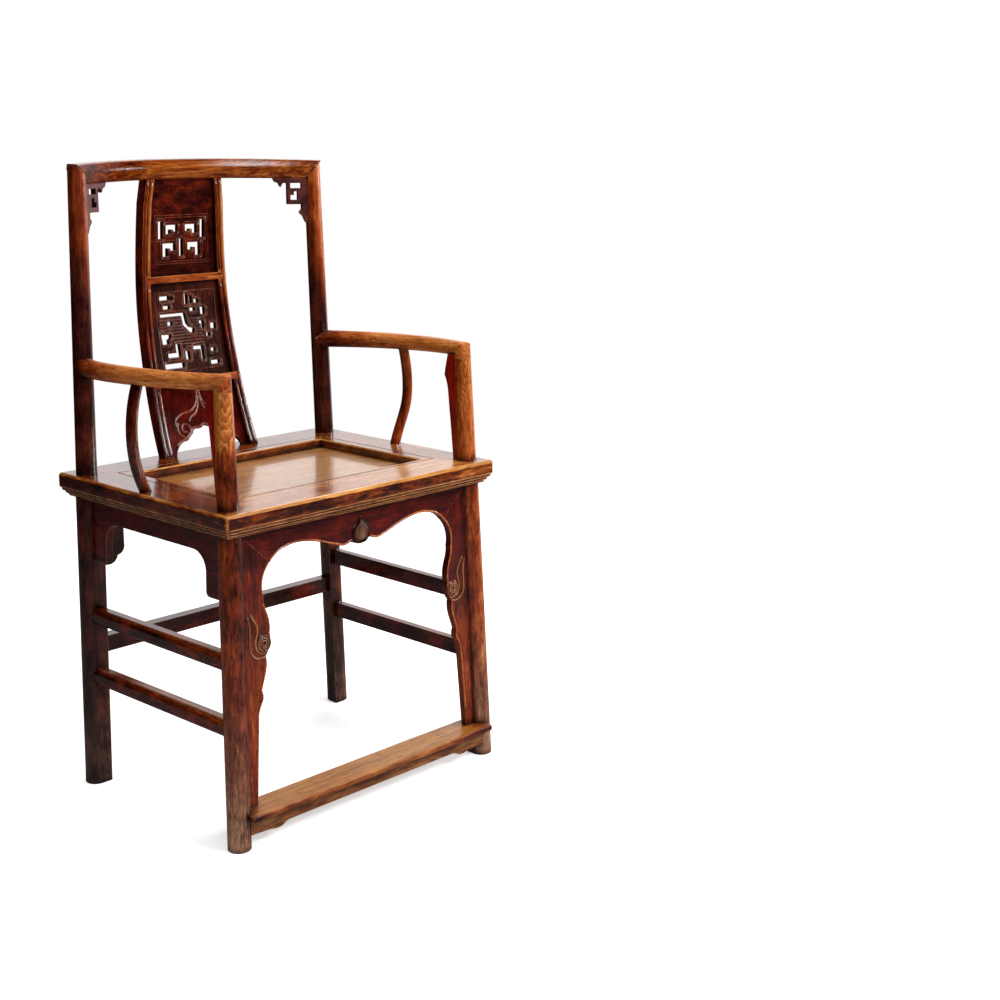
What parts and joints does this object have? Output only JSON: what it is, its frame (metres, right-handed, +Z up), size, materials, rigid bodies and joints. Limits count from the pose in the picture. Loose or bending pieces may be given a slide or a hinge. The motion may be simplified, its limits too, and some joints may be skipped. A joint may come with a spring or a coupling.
{
  "type": "official's hat chair",
  "caption": "Lacquered hardwood official's hat chair with bowed crest rail, carved openwork splat, curved arms, recessed board seat, ogee front apron and foot rail.",
  "frame": {"origin": "on the floor, at the middle of the chair's footprint box", "axes": "+Z up, the sitter faces -Y, +X to the right of someone looking at the chair's front"},
  "size_m": [0.6156, 0.5168, 1.0544],
  "materials": {
    "lacquered_wood": "dark red-brown lacquer over elm, polished by use and rubbed through to golden wood on fronts, tops and edges",
    "carved_panel": "dark brown lacquered openwork carving, satin",
    "seat_board": "honey-brown boards, polished",
    "bracket": "dark red-brown lacquer, satin",
    "worn_wood": "lacquer worn away to bare golden-brown elm",
    "hidden_wood": "plain unlacquered underside wood"
  },
  "bodies": {
    "root": {"arm_bracket_left": "bracket", "arm_bracket_right": "bracket", "arm_left": "lacquered_wood", "arm_right": "lacquered_wood", "arm_strut_left": "lacquered_wood", "arm_strut_right": "lacquered_wood", "back_apron": "lacquered_wood", "back_leg_left": "lacquered_wood", "back_leg_right": "lacquered_wood", "back_stretcher": "lacquered_wood", "crest_bracket_left": "bracket", "crest_bracket_right": "bracket", "crest_rail": "lacquered_wood", "foot_rail": "worn_wood", "foot_rail_apron": "worn_wood", "front_apron": "lacquered_wood", "front_leg_left": "lacquered_wood", "front_leg_right": "lacquered_wood", "front_strip_left": "lacquered_wood", "front_strip_right": "lacquered_wood", "seat_batten_left": "hidden_wood", "seat_batten_right": "hidden_wood", "seat_board_back": "seat_board", "seat_board_front": "seat_board", "seat_frame_back": "lacquered_wood", "seat_frame_front": "lacquered_wood", "seat_frame_side_left": "lacquered_wood", "seat_frame_side_right": "lacquered_wood", "side_apron_left": "lacquered_wood", "side_apron_right": "lacquered_wood", "side_stretcher_lower_left": "lacquered_wood", "side_stretcher_lower_right": "lacquered_wood", "side_stretcher_upper_left": "lacquered_wood", "side_stretcher_upper_right": "lacquered_wood", "splat_cloud_panel": "lacquered_wood", "splat_dragon_panel": "carved_panel", "splat_fret_panel": "carved_panel", "splat_rail_lower": "lacquered_wood", "splat_rail_upper": "lacquered_wood", "splat_stile_left": "lacquered_wood", "splat_stile_right": "lacquered_wood"}
  },
  "joints": []
}
